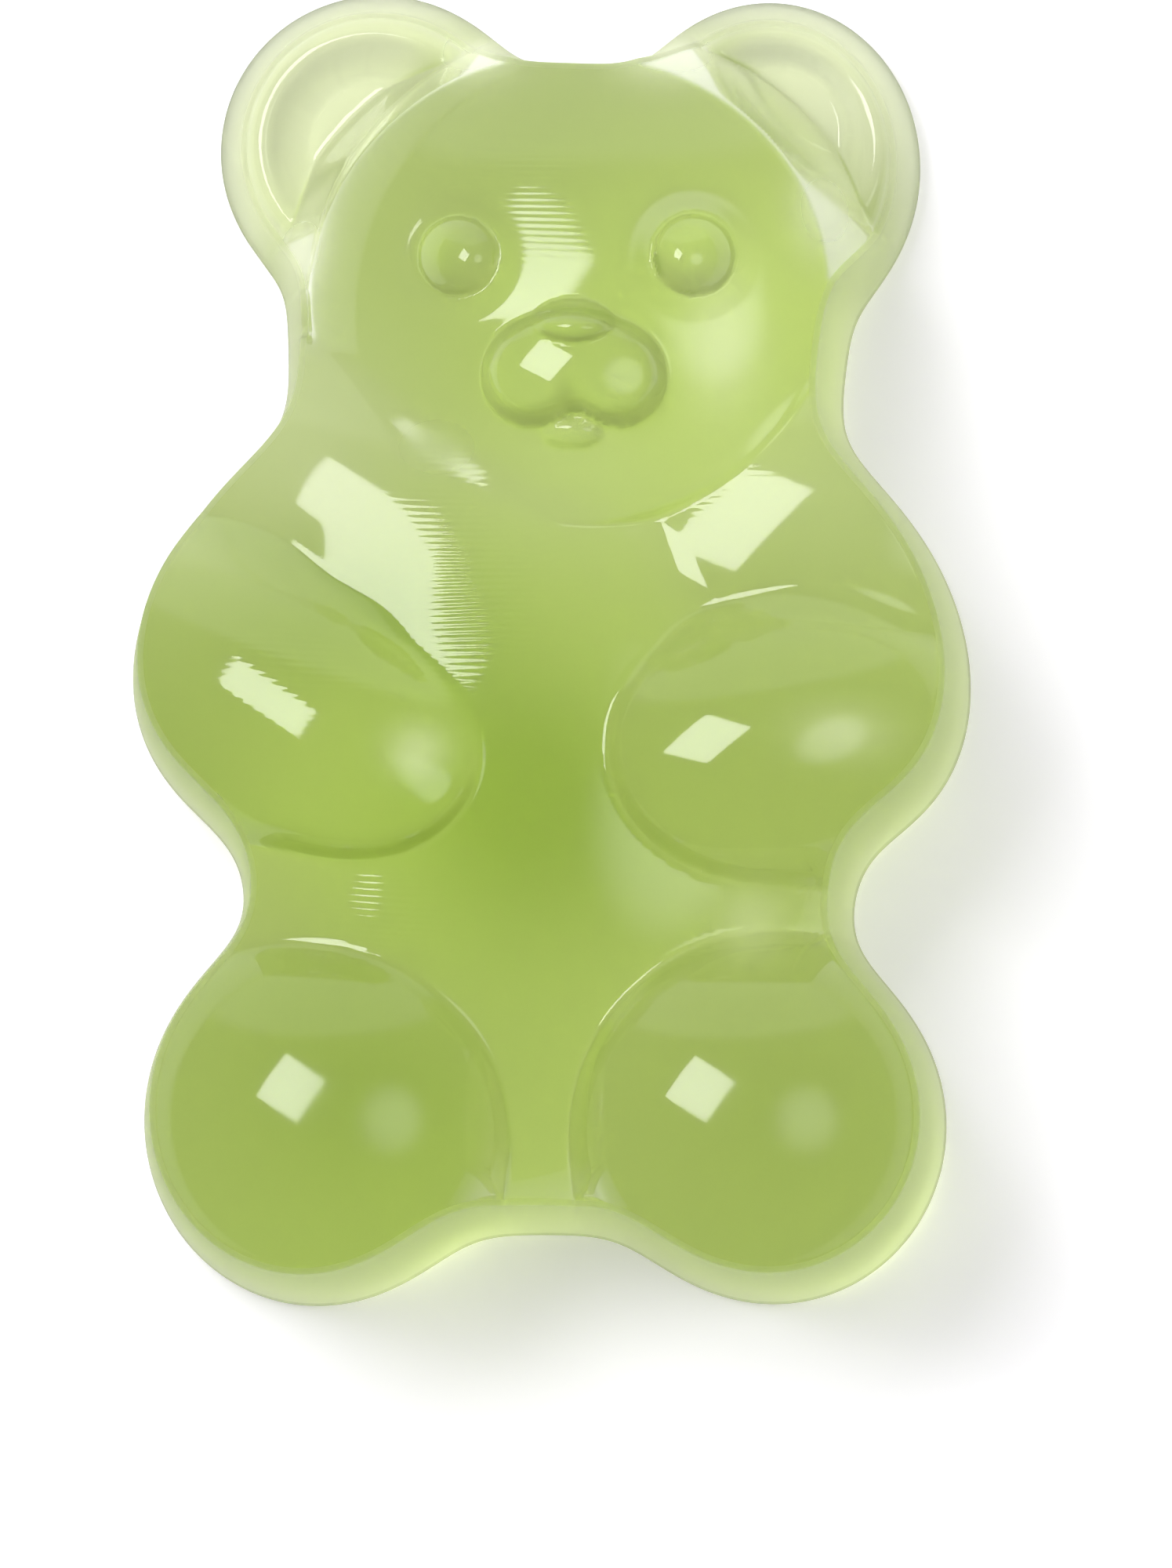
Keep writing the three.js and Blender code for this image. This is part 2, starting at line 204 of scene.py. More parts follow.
# ---------------------------------------------------------------- sizes and colours
def length(name, description, millimetres):
    """A length that is stored in metres and given here in millimetres."""
    return FloatProperty(
        name=name, description=description, default=millimetres * MM, min=0.0, precision=5, unit="LENGTH"
    )


def share(name, description, default):
    """A share between 0 and 1."""
    return FloatProperty(name=name, description=description, default=default, min=0.0, max=1.0, subtype="FACTOR")


def colour(name, description, default):
    """An opaque colour, given as linear red, green and blue."""
    return FloatVectorProperty(
        name=name, description=description, default=(*default, 1.0), size=4, min=0.0, max=1.0, subtype="COLOR"
    )


class BearSizes(bpy.types.PropertyGroup):
    """Roundings, edges and ears of the bear."""

    body_fillet: length("Body fillet", "How softly one lump of the edge runs into the next", 0.6)
    ear_fillet: length("Ear fillet", "How softly the ears leave the head", 0.3)
    back_round: length("Back rounding", "Rounding where the flat back turns into the side wall", 0.6)
    wall_draft: length("Wall draft", "How far the side wall leans in from its foot to its top", 0.38)
    edge_width: length("Edge width", "How far in the front starts, above the upper edge of the wall", 0.5)
    edge_drop: length("Edge drop", "Height of the rounded upper edge of the wall", 0.2)
    ledge: length("Ledge", "Lowest level of the front, between the raised lumps", 1.9)
    arm_fillet: length("Arm fillet", "Fillet between the paw and the upper arm of a footprint", 0.6)
    chin_blend: length("Chin blend", "How softly the face runs into the chest", 0.45)
    limb_crease: length("Limb crease", "Rounding of the folds along arms and legs", 0.2)
    limb_round: length("Limb rounding", "Rounding of the edges of arms and soles", 0.1)
    shoulder_fold: length("Shoulder fold", "Rounding of the fold where an arm leaves the shoulder", 1.6)
    ear_top: length("Ear rim level", "Level of the crest of the ears' rim", 2.6)
    ear_rim_round: length("Ear rim rounding", "Rounding of the ears' rim", 0.45)
    ear_dish: length("Ear dish", "Depth of the ears' dish below the rim", 0.7)
    ear_ring: length("Ear ring", "Radius of the rim's crest around the disc", 1.95)
    ear_disc_step: length("Ear disc step", "How far the disc lies below the dish", 0.3)
    ear_step_width: length("Ear step width", "Width of the step down to the disc", 0.1)
    ear_crease: length("Ear crease", "Rounding of the fold between ear and head", 0.12)
    muzzle_fillet: length("Muzzle fillet", "How softly the muzzle's lobes join", 0.14)
    muzzle_side: length("Muzzle side", "Height of the muzzle's rounded side", 0.9)
    muzzle_round: length("Muzzle rounding", "Width of the muzzle's rounded side", 0.4)
    muzzle_crease: length("Muzzle crease", "Rounding of the fold around the muzzle", 0.08)
    socket_depth: length("Socket depth", "Depth of the dent around an eye", 0.12)
    socket_width: length("Socket width", "How far the dent around an eye reaches", 0.3)


class BearGrid(bpy.types.PropertyGroup):
    """Fineness of the bear's surface."""

    across: IntProperty(name="Cells across", description="Grid cells from side to side", default=216, min=8)
    along: IntProperty(name="Cells along", description="Grid cells from feet to ears", default=330, min=8)
    wall_rings: IntProperty(name="Wall rings", description="Rings up the side wall", default=10, min=1)
    round_rings: IntProperty(name="Back rings", description="Rings of the back's rounding", default=6, min=1)
    edge_rings: IntProperty(name="Edge rings", description="Rings of the upper edge", default=8, min=2)


class JellyFinish(bpy.types.PropertyGroup):
    """Colours and surface of the jelly."""

    depth_colour: colour("Depth colour", "Colour that light turns to on its way through", (0.61, 0.72, 0.0))
    density: FloatProperty(name="Density", description="How fast light turns to it, per metre", default=160.0)
    # Painted shade: a darker tint painted into spots and onto the side walls, standing for shade.
    painted_shade_colour: colour("Painted shade colour", "Darker tint painted in as shade", (0.66, 0.74, 0.4))
    # Painted light: the bloom colour also paints highlights, sheen and a lighter head.
    bloom_and_highlight_colour: colour("Bloom and highlight colour", "Colour of the milky bloom and its painted light", (0.94, 0.98, 0.72))
    bloom_low: share("Bloom on the legs", "Share of milky bloom over the legs", 0.015)
    # Painted light: this share paints the upper body lighter as if lit from above.
    painted_light_high: share("Painted light on the head", "Share of painted light that the head adds to it", 0.035)
    bloom_side: share("Bloom on the sides", "Share of milky bloom that the side walls add to it", 0.03)
    skin_roughness: share("Skin roughness", "Roughness of the oiled front", 0.07)
    side_roughness: share("Side roughness", "Roughness that the side walls add to it", 0.5)
    bloom_roughness: share("Bloom roughness", "Roughness of the milky bloom", 0.4)
    refraction: FloatProperty(name="Refractive index", description="How far the jelly bends light", default=1.42)
    # Painted shade: the side walls take a share of the darker tint.
    side_tint: share("Side tint", "Share of the painted shade that the side walls add", 0.12)
    ripple_height: length("Ripple height", "Height of the ripples left by the mould", 0.0012)


class Studio(bpy.types.PropertyGroup):
    """Table, light and camera."""

    table_dark: colour("Table, darker", "Darker tone of the table's faint mottle", (0.87, 0.85, 0.9))
    table_light: colour("Table, lighter", "Lighter tone of the table's faint mottle", (0.89, 0.87, 0.92))
    table_roughness: share("Table roughness", "Roughness of the table top", 0.9)
    table_glow: FloatProperty(name="Table glow", description="Light given off by the table itself", default=0.27)
    table_reach: length("Table reach", "Half the side of the table top", 600.0)
    window_size: length("Window size", "Side of the square window light", 92.0)
    window_power: FloatProperty(name="Window power", description="Power of it", default=0.33, unit="POWER")
    room_light: FloatProperty(name="Room light", description="Brightness all round", default=0.26)
    wall_light: FloatProperty(name="Wall light", description="What the wall beyond the ears adds", default=1.1)
    lamp_light: FloatProperty(name="Lamp light", description="What the round lamp adds", default=3.2)
    view_height: length("View height", "Height of the picture at the bear", 26.392)
    camera_distance: length("Camera distance", "From the bear to the camera", 400.0)
    camera_lean: FloatProperty(
        name="Camera lean", description="Turn of the picture", default=math.radians(1.5), unit="ROTATION"
    )


class Millimetres:
    """Reads the lengths of a property group in millimetres."""

    def __init__(self, group):
        self.group = group

    def __getattr__(self, name):
        return getattr(self.group, name) / MM


# ---------------------------------------------------------------- shape of the bear
def shares(x, y, lump):
    """Offset from a lump's centre along its two axes, in half widths and half lengths."""
    turn = math.radians(lump.get("turn", 0.0))
    dx, dy = x - lump["x"], y - lump["y"]
    across = (dx * math.cos(turn) + dy * math.sin(turn)) / lump["across"]
    along = (dy * math.cos(turn) - dx * math.sin(turn)) / lump["along"]
    return across, along


def gap(x, y, lump):
    """Distance from an ellipse to first order, negative inside: k (k - 1) / |gradient of k|, where k is
    the length of the offset from its centre measured in half widths and half lengths."""
    across, along = shares(x, y, lump)
    reach = np.hypot(across, along)
    slope = np.hypot(across / lump["across"], along / lump["along"])
    return reach * (reach - 1.0) / np.maximum(slope, TINY)


def join(gaps, fillet):
    """Union of shapes given by their distances: minus the fillet times the log of the summed
    exponentials of minus distance over fillet, which rounds each corner between two shapes."""
    gaps = np.stack(gaps)
    nearest = gaps.min(axis=0)
    return nearest - fillet * np.log(np.exp((nearest - gaps) / fillet).sum(axis=0))


def higher(a, b, crease):
    """The higher of two levels, plus a quarter of the crease size times the squared overlap of the two."""
    overlap = np.maximum(crease - np.abs(a - b), 0.0) / crease
    return np.maximum(a, b) + overlap**2 * crease / 4


def quarter_round(part):
    """Rise of a quarter circle: the root of 1 - (1 - part) squared, with the part held between 0 and 1."""
    return np.sqrt(1.0 - (1.0 - np.clip(part, 0.0, 1.0)) ** 2)


def dome(x, y, lump):
    """Height of a dome over an oval: the root of 1 - across squared - along squared, and 0 outside."""
    across, along = shares(x, y, lump)
    return np.sqrt(np.maximum(1.0 - across**2 - along**2, 0.0))


def outline_gap(x, y, size):
    """Distance from the bear's edge: the joined lumps of the body, then joined with the ears."""
    body = join([gap(x, y, lump) for lump in [HEAD, TRUNK, *UPPER_ARMS, *FEET]], size.body_fillet)
    return join([body, *(gap(x, y, ear) for ear in EARS)], size.ear_fillet)


def lump_level(x, y, lump, footprint, size, rounding=0.0):
    """Level of a raised lump: its foot, plus its dome, minus a steep fall outside its footprint, which
    starts with a rounding: the rounding times the log of 1 + e to the distance over the rounding."""
    outside = join([gap(x, y, oval) for oval in footprint], size.arm_fillet)
    if rounding > 0.0:
        outside = rounding * np.logaddexp(0.0, outside / rounding)
    return lump["foot"] + lump["rise"] * dome(x, y, lump) - FLANK_SLOPE * np.maximum(outside, 0.0)


def ear_level(x, y, size):
    """Level of the ears: a rounded rim, less a dish that deepens towards each disc, less the disc's step."""
    inside = -outline_gap(x, y, size) - size.edge_width
    sunk = []
    for disc in EAR_DISCS:
        radius = np.hypot(x - disc["x"], y - disc["y"])
        depth = np.clip((size.ear_ring - radius) / (size.ear_ring - disc["radius"]), 0.0, 1.0)
        step = np.clip((disc["radius"] - radius) / size.ear_step_width, 0.0, 1.0)
        sunk.append(size.ear_dish * depth**1.5 + size.ear_disc_step * step)
    rim = size.ear_rim_round * (quarter_round(inside / size.ear_rim_round) - 1.0)
    return size.ear_top + rim - np.maximum(*sunk)


def muzzle_level(x, y, size):
    """Level of the muzzle: its dome, less a quarter round along its joined lobes and a steep fall outside."""
    outside = join([gap(x, y, lobe) for lobe in MUZZLE], size.muzzle_fillet)
    side = size.muzzle_side * (1.0 - quarter_round(-outside / size.muzzle_round))
    top = MUZZLE_DOME["foot"] + MUZZLE_DOME["rise"] * dome(x, y, MUZZLE_DOME)
    return top - side - FLANK_SLOPE * np.maximum(outside, 0.0)


def feature_rise(x, y, size):
    """Height of eyes, nose and lip over the head: domes, less a bell-shaped dent around each eye."""
    bumps = sum(bump["rise"] * dome(x, y, bump) for bump in [NOSE, LIP, *EYES])
    dents = sum(np.exp(-((gap(x, y, eye) / size.socket_width) ** 2)) for eye in EYES)
    return bumps - size.socket_depth * dents


def front_level(x, y, size):
    """Level of the front: the highest of belly, shoulders, face, ears, arms, soles and muzzle, with rounded
    folds. The arms' fold softens from the belly, where y is SOFT_FROM, up to the shoulder at SOFT_TO."""
    level = lump_level(x, y, BELLY, [BELLY], size)
    for shoulder in SHOULDERS:
        level = higher(level, lump_level(x, y, shoulder, [shoulder], size), size.chin_blend)
    level = higher(level, lump_level(x, y, FACE, FACE_PRINT, size), size.chin_blend)
    level = higher(level, size.ledge, size.limb_crease)
    level = higher(level, ear_level(x, y, size), size.ear_crease)
    softness = np.clip((y - SOFT_FROM) / (SOFT_TO - SOFT_FROM), 0.0, 1.0)
    fold = size.limb_crease + (size.shoulder_fold - size.limb_crease) * softness
    for arm, footprint in zip(ARMS, ARM_PRINTS):
        level = higher(level, lump_level(x, y, arm, footprint, size, size.limb_round), fold)
    for sole, footprint in zip(SOLES, SOLE_PRINTS):
        level = higher(level, lump_level(x, y, sole, footprint, size, size.limb_round), size.limb_crease)
    return higher(level, muzzle_level(x, y, size), size.muzzle_crease) + feature_rise(x, y, size)


# ---------------------------------------------------------------- grid and mesh
def edge_curve(size):
    """Points of the edge in every direction from the origin, each found by halving the distance range."""
    angles = np.arange(EDGE_STEPS) / EDGE_STEPS * 2 * math.pi
    inner, outer = np.zeros(EDGE_STEPS), np.full(EDGE_STEPS, OUTER_REACH)
    for _ in range(HALVINGS):
        middle = (inner + outer) / 2
        within = outline_gap(middle * np.cos(angles), middle * np.sin(angles), size) < 0
        inner, outer = np.where(within, middle, inner), np.where(within, outer, middle)
    return np.column_stack([inner * np.cos(angles), inner * np.sin(angles)])


def grid_shares(cells, crowd):
    """Shares of a side where grid lines end: running sum of 1 minus a bell curve around the face."""
    offset = ((np.arange(cells) + 0.5) / cells - crowd["middle"]) / crowd["reach"]
    steps = np.cumsum(1.0 - CROWDING * np.exp(-(offset**2)))
    return np.concatenate([[0.0], steps / steps[-1]])


def edge_run(curve, start, end, ends):
    """Points on the edge between two directions in degrees, at the given shares of its length."""
    first, last = round(start / 360 * EDGE_STEPS), round(end / 360 * EDGE_STEPS)
    way = 1 if last > first else -1
    points = curve[np.arange(first, last + way, way) % EDGE_STEPS]
    lengths = np.concatenate([[0.0], np.cumsum(np.linalg.norm(np.diff(points, axis=0), axis=1))])
    return np.column_stack([np.interp(ends * lengths[-1], lengths, points[:, axis]) for axis in (0, 1)])


def inset(points, depth, size):
    """The edge moved inwards along the gradient of its distance."""
    x, y = points.T
    outward = np.column_stack([
        outline_gap(x + NUDGE, y, size) - outline_gap(x - NUDGE, y, size),
        outline_gap(x, y + NUDGE, size) - outline_gap(x, y - NUDGE, size),
    ])
    return points - depth * outward / np.linalg.norm(outward, axis=1, keepdims=True)


def ring(edge, depth, level, size):
    """The edge moved inwards by a depth, at a level."""
    return np.column_stack([inset(edge, depth, size), np.broadcast_to(level, len(edge))])


def wall_rings(edge, size, grid):
    """Rings from the flat back up to the front: one inside the back's edge, a quarter circle, a straight
    wall that leans in by the draft, and a short circular edge whose depth grows with 1 - cosine of its
    turn while its height grows with the sine."""
    crest = front_level(*inset(edge, size.edge_width, size).T, size)
    rings = [ring(edge, size.back_round + BACK_MARGIN, 0.0, size)]
    for angle in np.linspace(0.0, math.pi / 2, grid.round_rings + 1):
        depth, level = size.back_round * (1 - math.sin(angle)), size.back_round * (1 - math.cos(angle))
        rings.append(ring(edge, depth, level, size))
    for up in np.linspace(0.0, 1.0, grid.wall_rings + 1)[1:]:
        level = size.back_round + (crest - size.edge_drop - size.back_round) * up
        rings.append(ring(edge, size.wall_draft * up, level, size))
    sweep = math.radians(EDGE_SWEEP)
    for angle in np.linspace(0.0, sweep, grid.edge_rings + 1)[1:-1]:
        inward = (1 - math.cos(angle)) / (1 - math.cos(sweep))
        below = size.edge_drop * (1 - math.sin(angle) / math.sin(sweep))
        depth = size.wall_draft + (size.edge_width - size.wall_draft) * inward
        rings.append(ring(edge, depth, crest - below, size))
    return rings


def fill_grid(bottom, top, left, right, u, v):
    """A patch between four curves: the two straight blends across and along it, less the bilinear blend
    of its corners."""
    u, v = u[None, :, None], v[:, None, None]
    sides = (1 - u) * left[:, None] + u * right[:, None] + (1 - v) * bottom[None] + v * top[None]
    corners = (1 - u) * (1 - v) * bottom[0] + u * (1 - v) * bottom[-1] + (1 - u) * v * top[0] + u * v * top[-1]
    return sides - corners


def bear_surface(size, grid):
    """Vertices, four-sided faces, the ring around the back and the side mask: the front's grid of
    (x, y, front level), then the rings of the side wall. The mask is 0 on the front and 1 on the rings."""
    u, v = grid_shares(grid.across, CROWD_ACROSS), grid_shares(grid.along, CROWD_ALONG)
    curve = edge_curve(size)
    bottom = edge_run(curve, CORNERS["left_foot"], CORNERS["right_foot"], u)
    top = edge_run(curve, CORNERS["left_ear"], CORNERS["right_ear"], u)
    left = edge_run(curve, CORNERS["left_foot"], CORNERS["left_ear"], v)
    right = edge_run(curve, CORNERS["right_foot"] - 360, CORNERS["right_ear"], v)

    plan = fill_grid(*(inset(side, size.edge_width, size) for side in (bottom, top, left, right)), u, v)
    flat = plan.reshape(-1, 2)
    front = np.column_stack([flat, front_level(*flat.T, size)])
    edge = np.concatenate([bottom[:-1], right[:-1], top[:0:-1], left[:0:-1]])
    rings = wall_rings(edge, size, grid)

    index = np.arange((grid.along + 1) * (grid.across + 1)).reshape(grid.along + 1, grid.across + 1)
    rim_index = np.concatenate([index[0, :-1], index[:-1, -1], index[-1, :0:-1], index[:0:-1, 0]])
    ring_index = [len(front) + k * len(edge) + np.arange(len(edge)) for k in range(len(rings))]
    ring_index.append(rim_index)
    quads = [np.stack([index[:-1, :-1], index[:-1, 1:], index[1:, 1:], index[1:, :-1]], -1).reshape(-1, 4)]
    for low, high in zip(ring_index[:-1], ring_index[1:]):
        quads.append(np.stack([low, np.roll(low, -1), np.roll(high, -1), high], -1))
    vertices = np.concatenate([front, *rings]) * MM
    side = np.concatenate([np.zeros(len(front)), np.ones(len(rings) * len(edge))])
    return vertices, np.concatenate(quads), ring_index[0][::-1], side


def bear_mesh(size, grid):
    """Puts the bear's four-sided faces and the one flat face of its back into a smooth mesh."""
    vertices, quads, back, side = bear_surface(size, grid)
    mesh = bpy.data.meshes.new("jelly_bear")
    mesh.vertices.add(len(vertices))
    mesh.vertices.foreach_set("co", vertices.ravel())
    mesh.loops.add(quads.size + len(back))
    mesh.loops.foreach_set("vertex_index", np.concatenate([quads.ravel(), back]))
    mesh.polygons.add(len(quads) + 1)
    mesh.polygons.foreach_set("loop_start", np.arange(len(quads) + 1) * 4)
    mesh.polygons.foreach_set("use_smooth", np.ones(len(quads) + 1, dtype=bool))
    mesh.update(calc_edges=True)
    if mesh.validate():
        raise RuntimeError("the bear's surface has a broken face")
    mesh.attributes.new("side", "FLOAT", "POINT").data.foreach_set("value", side)
    return mesh


# ---------------------------------------------------------------- shader maths
class Maths:
    """Wraps a socket that carries a number, so that Python arithmetic on it adds Math nodes."""

    def __init__(self, nodes, socket):
        self.nodes, self.socket = nodes, socket

    def _with(self, operation, *values):
        """Adds a Math node for an operation on numbers, Maths values or sockets."""
        node = self.nodes.add("Math", {"operation": operation}, dict(enumerate(values)))
        return Maths(self.nodes, node.outputs[0])

    def __add__(self, other):
        return self._with("ADD", self, other)

    def __sub__(self, other):
        return self._with("SUBTRACT", self, other)

    def __rsub__(self, other):
        return self._with("SUBTRACT", other, self)

    def __mul__(self, other):
        return self._with("MULTIPLY", self, other)

    def __neg__(self):
        return self._with("MULTIPLY", self, -1.0)

    __radd__, __rmul__ = __add__, __mul__

    def sine(self):
        """Sine of an angle in radians."""
        return self._with("SINE", self)

    def exponential(self):
        """e to the power of this value."""
        return self._with("EXPONENT", self)

    def ramp(self, low, high):
        """0 up to a low value and 1 from a high one, with a smooth rise in between."""
        settings = {"interpolation_type": "SMOOTHSTEP"}
        sockets = {"Value": self, "From Min": low, "From Max": high}
        return Maths(self.nodes, self.nodes.add("MapRange", settings, sockets).outputs["Result"])


class Nodes:
    """The node tree of a material or a world."""

    def __init__(self, owner):
        owner.use_nodes = True
        self.tree = owner.node_tree
        self.tree.nodes.clear()

    def add(self, kind, settings=None, sockets=None):
        """Adds a node of a type, with its settings first and then its sockets, by name or number. A socket
        gets a plain value, or a link from a Maths value or another socket."""
        node = self.tree.nodes.new("ShaderNode" + kind)
        for name, value in (settings or {}).items():
            setattr(node, name, value)
        for name, value in (sockets or {}).items():
            source = value.socket if isinstance(value, Maths) else value
            if isinstance(source, bpy.types.NodeSocket):
                self.tree.links.new(source, node.inputs[name])
            else:
                node.inputs[name].default_value = source
        return node

    def value(self, kind, output, settings=None, sockets=None):
        """Adds a node and wraps one of its outputs for arithmetic."""
        return Maths(self, self.add(kind, settings, sockets).outputs[output])

    def blend(self, factor, first, second):
        """A colour between two others."""
        return self.add("Mix", {"data_type": "RGBA"}, {0: factor, 6: first, 7: second}).outputs[2]


def spots(x, y, places):
    """Sum of round soft spots, each its share times e to minus the squared offset in radii."""
    total = 0.0
    for spot in places:
        across = (x - spot["x"] * MM) * (1.0 / (spot["across"] * MM))
        along = (y - spot["y"] * MM) * (1.0 / (spot["along"] * MM))
        total = (-(across * across + along * along)).exponential() * spot["share"] + total
    return total


def jelly_material(finish):
    """Clear jelly that turns green with depth, with a darker tint painted in as shade, under an oiled skin.

    Bloom: milky white that is partly painted light: a share that rises from the legs to the head, painting the
    upper body lighter as if lit from above, plus the sides' share and soft spots, most of them painted
    highlights and sheen.
    Roughness: the skin's, plus the sides' and dull spots. Ripples: the sine of the way along the body,
    bent by a noise and kept to soft spots."""
    material = bpy.data.materials.new("jelly")
    nodes = Nodes(material)
    place = nodes.add("TexCoord").outputs["Object"]
    parts = nodes.add("SeparateXYZ", None, {"Vector": place})
    x, y = Maths(nodes, parts.outputs["X"]), Maths(nodes, parts.outputs["Y"])
    side = nodes.value("Attribute", "Fac", {"attribute_name": "side"})

    wander = nodes.value("TexNoise", "Fac", None, {"Vector": place, "Scale": NOISE_SCALE, "Detail": 1.0})
    ripples = (y * (2 * math.pi / (RIPPLE_PITCH * MM)) + wander * RIPPLE_BEND).sine() * spots(x, y, RIPPLE_SPOTS)
    bump = nodes.add("Bump", None, {"Height": ripples, "Distance": finish.ripple_height, "Strength": 1.0})

    # Painted shade: a darker green tint over the side walls and the shade spots.
    painted_shade = side * finish.side_tint + spots(x, y, PAINTED_SHADE_SPOTS)
    tint = nodes.blend(painted_shade, WHITE, tuple(finish.painted_shade_colour))
    clear = nodes.add("BsdfPrincipled", None, {
        "Base Color": tint,
        "Roughness": side * finish.side_roughness + spots(x, y, DULL_SPOTS) + finish.skin_roughness,
        "IOR": finish.refraction,
        "Transmission Weight": 1.0,
        "Normal": bump.outputs["Normal"],
    })
    milky = nodes.add("BsdfPrincipled", None, {
        "Base Color": tuple(finish.bloom_and_highlight_colour),
        "Roughness": finish.bloom_roughness,
        "Specular IOR Level": 0.0,
    })
    # Painted light: the bloom rises towards the head as if lit from above, and its spots paint highlights; the
    # low and side shares are the jelly's milkiness.
    painted_light_upward = (y + wander * (PAINTED_LIGHT_BEND * MM)).ramp(PAINTED_LIGHT_FROM * MM, PAINTED_LIGHT_TO * MM) * finish.painted_light_high
    bloom = painted_light_upward + side * finish.bloom_side + spots(x, y, BLOOM_AND_HIGHLIGHT_SPOTS) + finish.bloom_low
    surface = nodes.add("MixShader", None, {0: bloom, 1: clear.outputs[0], 2: milky.outputs[0]})
    depth = nodes.add("VolumeAbsorption", None, {
        "Color": tuple(finish.depth_colour),
        "Density": finish.density,
    })
    nodes.add("OutputMaterial", None, {"Surface": surface.outputs[0], "Volume": depth.outputs[0]})
    return material


def table_material(studio):
    """Matt white board with a very faint mottle, lit from within as a light table is."""
    material = bpy.data.materials.new("white_table")
    nodes = Nodes(material)
    place = nodes.add("TexCoord").outputs["Object"]
    mottle = nodes.value("TexNoise", "Fac", None, {"Vector": place, "Scale": MOTTLE_SCALE})
    board = nodes.add("BsdfPrincipled", None, {
        "Base Color": nodes.blend(mottle, tuple(studio.table_dark), tuple(studio.table_light)),
        "Roughness": studio.table_roughness,
        "Emission Color": WHITE,
        "Emission Strength": studio.table_glow,
    })
    nodes.add("OutputMaterial", None, {"Surface": board.outputs[0]})
    return material


# ---------------------------------------------------------------- light and camera
def direction(source):
    """Unit vector towards a light, from its azimuth and its angle from +Z."""
    azimuth, lean = math.radians(source["azimuth"]), math.radians(source["off_vertical"])
    return Vector((math.sin(lean) * math.cos(azimuth), math.sin(lean) * math.sin(azimuth), math.cos(lean)))


def studio_world(studio):
    """A dim room with a bright wall beyond the ears and a soft round lamp to the right: each is a smooth
    step of the cosine between the view direction and its own."""
    world = bpy.data.worlds.new("studio")
    bpy.context.scene.world = world
    nodes = Nodes(world)
    where = nodes.add("TexCoord").outputs["Generated"]

    def glow(source):
        """0 away from a light's direction and 1 close to it."""
        sockets = {0: where, 1: direction(source)}
        cosine = nodes.value("VectorMath", "Value", {"operation": "DOT_PRODUCT"}, sockets)
        dark, bright = math.radians(source["dark_from"]), math.radians(source["bright_to"])
        return cosine.ramp(math.cos(dark), math.cos(bright))

    wall = glow(WALL) * studio.wall_light
    lamp = glow(LAMP) * studio.lamp_light
    background = nodes.add("Background", None, {
        "Color": WHITE,
        "Strength": wall + lamp + studio.room_light,
    })
    nodes.add("OutputWorld", None, {"Surface": background.outputs[0]})


def window_light(studio):
    """A square light to the upper left, facing the bear."""
    data = bpy.data.lights.new("window", "AREA")
    data.shape = "SQUARE"
    data.size = studio.window_size
    data.energy = studio.window_power
    light = bpy.data.objects.new("window", data)
    bpy.context.scene.collection.objects.link(light)
    towards = direction(WINDOW)
    light.location = towards * (WINDOW["distance"] * MM)
    light.rotation_euler = towards.to_track_quat("Z", "Y").to_euler()


def table_top(studio):
    """A square table top just under the bear."""
    reach, level = studio.table_reach, -TABLE_GAP * MM
    corners = [(-reach, -reach, level), (reach, -reach, level), (reach, reach, level), (-reach, reach, level)]
    mesh = bpy.data.meshes.new("table_top")
    mesh.from_pydata(corners, [], [(0, 1, 2, 3)])
    mesh.materials.append(table_material(studio))
    table = bpy.data.objects.new("table_top", mesh)
    bpy.context.scene.collection.objects.link(table)


def add_camera(studio):
    """A camera almost straight above the bear, with a long lens and the picture turned by the lean."""
    lean = studio.camera_lean
    right = Vector((math.cos(lean), math.sin(lean), 0.0))
    up = Vector((-math.sin(lean), math.cos(lean), 0.0))
    target = (right * LOOK_AT["right"] + up * LOOK_AT["up"] + Vector((0.0, 0.0, LOOK_AT["level"]))) * MM
    lean_right, lean_down = math.tan(math.radians(LEAN_RIGHT)), math.tan(math.radians(LEAN_DOWN))
    back = (right * lean_right - up * lean_down + Vector((0.0, 0.0, 1.0))).normalized()
    data = bpy.data.cameras.new("camera")
    data.sensor_fit = "VERTICAL"
    data.sensor_height = SENSOR_HEIGHT
    data.lens = data.sensor_height * studio.camera_distance / studio.view_height
    data.clip_start = MM
    camera = bpy.data.objects.new("camera", data)
    bpy.context.scene.collection.objects.link(camera)
    x_axis = up.cross(back).normalized()
    rotation = Matrix((x_axis, back.cross(x_axis), back)).transposed()
    camera.matrix_world = Matrix.Translation(target + back * studio.camera_distance) @ rotation.to_4x4()
    bpy.context.scene.camera = camera


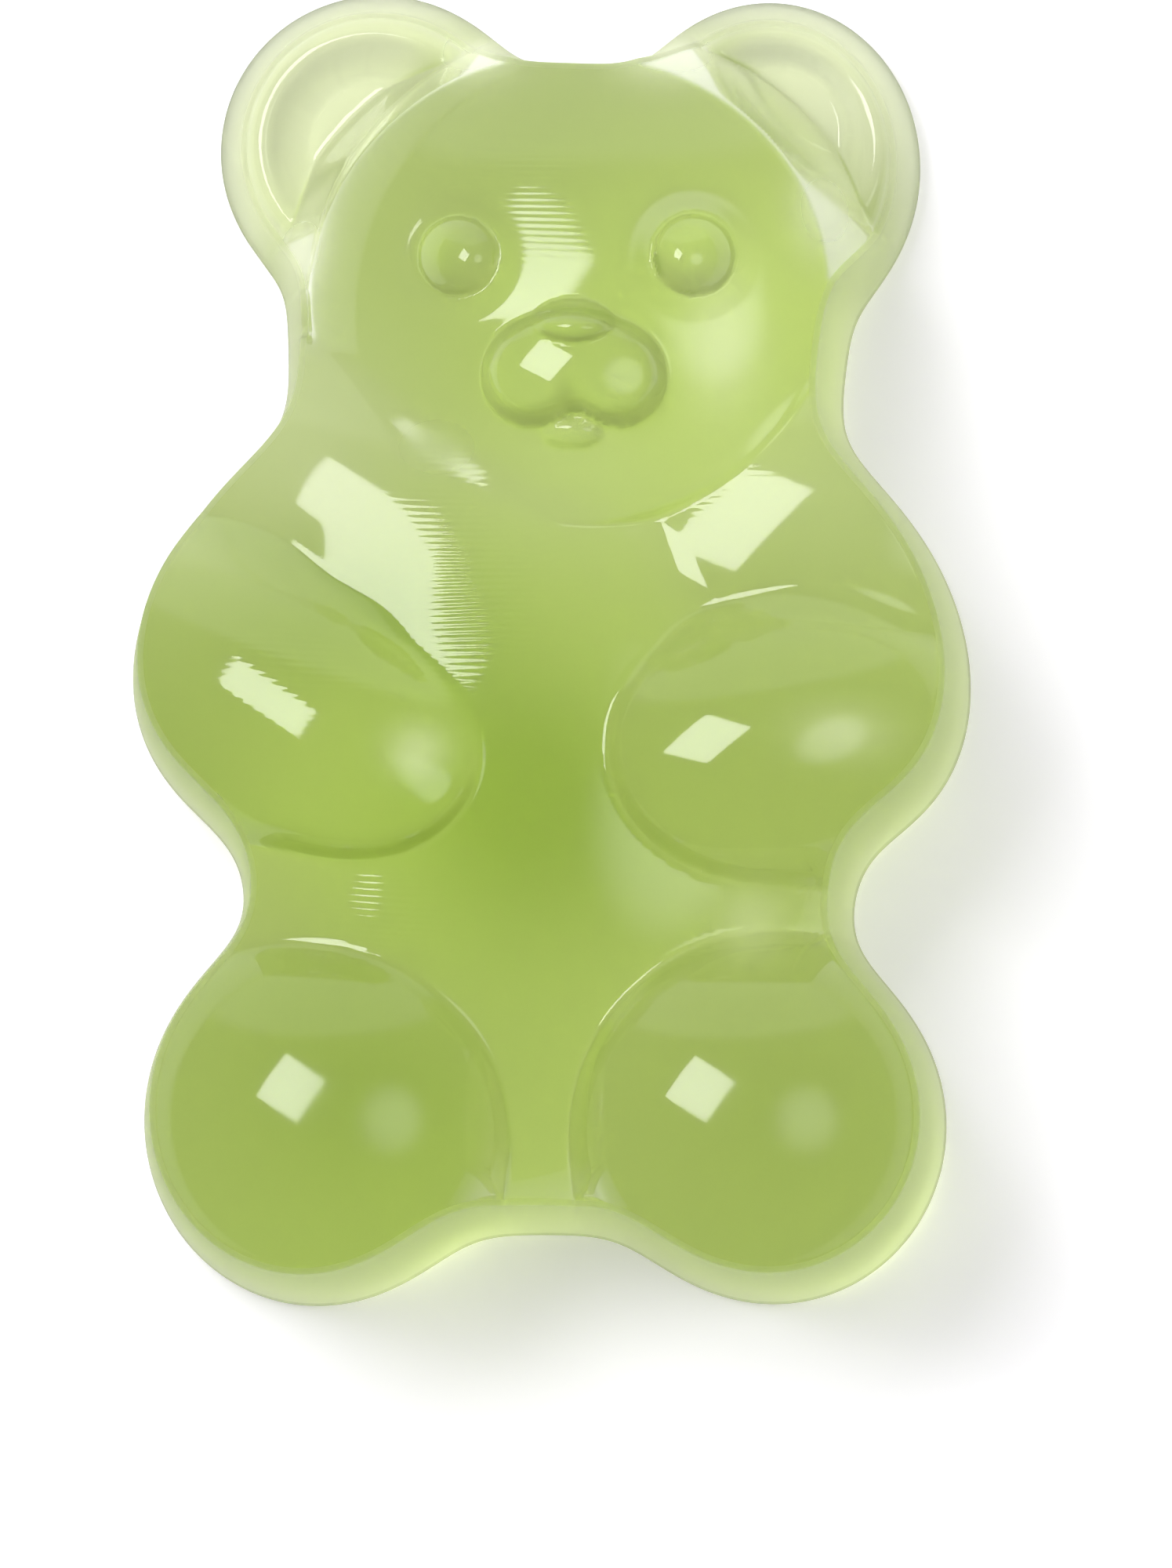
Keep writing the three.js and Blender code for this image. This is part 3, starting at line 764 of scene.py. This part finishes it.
# ---------------------------------------------------------------- add-on
class OBJECT_OT_jelly_bear(bpy.types.Operator):
    """Builds the jelly bear over the solid model's plain one"""

    bl_idname = "object.jelly_bear"
    bl_label = "Jelly bear"

    def execute(self, context):
        if "gummy_bear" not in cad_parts:
            raise RuntimeError("the solid model has no gummy_bear")
        settings = context.scene
        mesh = bear_mesh(Millimetres(settings.bear_sizes), settings.bear_grid)
        mesh.materials.append(jelly_material(settings.jelly_finish))
        bear = bpy.data.objects.new("jelly_bear", mesh)
        context.scene.collection.objects.link(bear)
        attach(bear, "root")
        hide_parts("gummy_bear")
        return {"FINISHED"}


class OBJECT_OT_jelly_bear_stage(bpy.types.Operator):
    """Sets up the table, the light and the camera"""

    bl_idname = "object.jelly_bear_stage"
    bl_label = "Table, light and camera"

    def execute(self, context):
        studio = context.scene.bear_studio
        context.scene.view_settings.view_transform = "Standard"
        table_top(studio)
        studio_world(studio)
        window_light(studio)
        add_camera(studio)
        return {"FINISHED"}


class VIEW3D_PT_jelly_bear(bpy.types.Panel):
    """Lists what builds the bear, with its sizes and colours"""

    bl_label = "Gummy bear"
    bl_space_type = "VIEW_3D"
    bl_region_type = "UI"
    bl_category = "Gummy bear"

    def draw(self, context):
        for operator in OPERATORS:
            self.layout.operator(operator.bl_idname)
        for name, group in GROUPS.items():
            box = self.layout.box()
            box.label(text=group.__doc__)
            for key in group.__annotations__:
                box.prop(getattr(context.scene, name), key)


GROUPS = {
    "bear_sizes": BearSizes,
    "bear_grid": BearGrid,
    "jelly_finish": JellyFinish,
    "bear_studio": Studio,
}
OPERATORS = [OBJECT_OT_jelly_bear, OBJECT_OT_jelly_bear_stage]
CLASSES = [*GROUPS.values(), *OPERATORS, VIEW3D_PT_jelly_bear]


def register():
    """Makes the groups, operators and panel known, and gives each scene its own groups."""
    for each in CLASSES:
        bpy.utils.register_class(each)
    for name, group in GROUPS.items():
        setattr(bpy.types.Scene, name, PointerProperty(type=group))


def unregister():
    """Takes them away again."""
    for name in GROUPS:
        delattr(bpy.types.Scene, name)
    for each in reversed(CLASSES):
        bpy.utils.unregister_class(each)


def main():
    """Registers the classes and builds the bear and its stage."""
    register()
    bpy.ops.object.jelly_bear()
    bpy.ops.object.jelly_bear_stage()


if __name__ == "__main__":
    main()
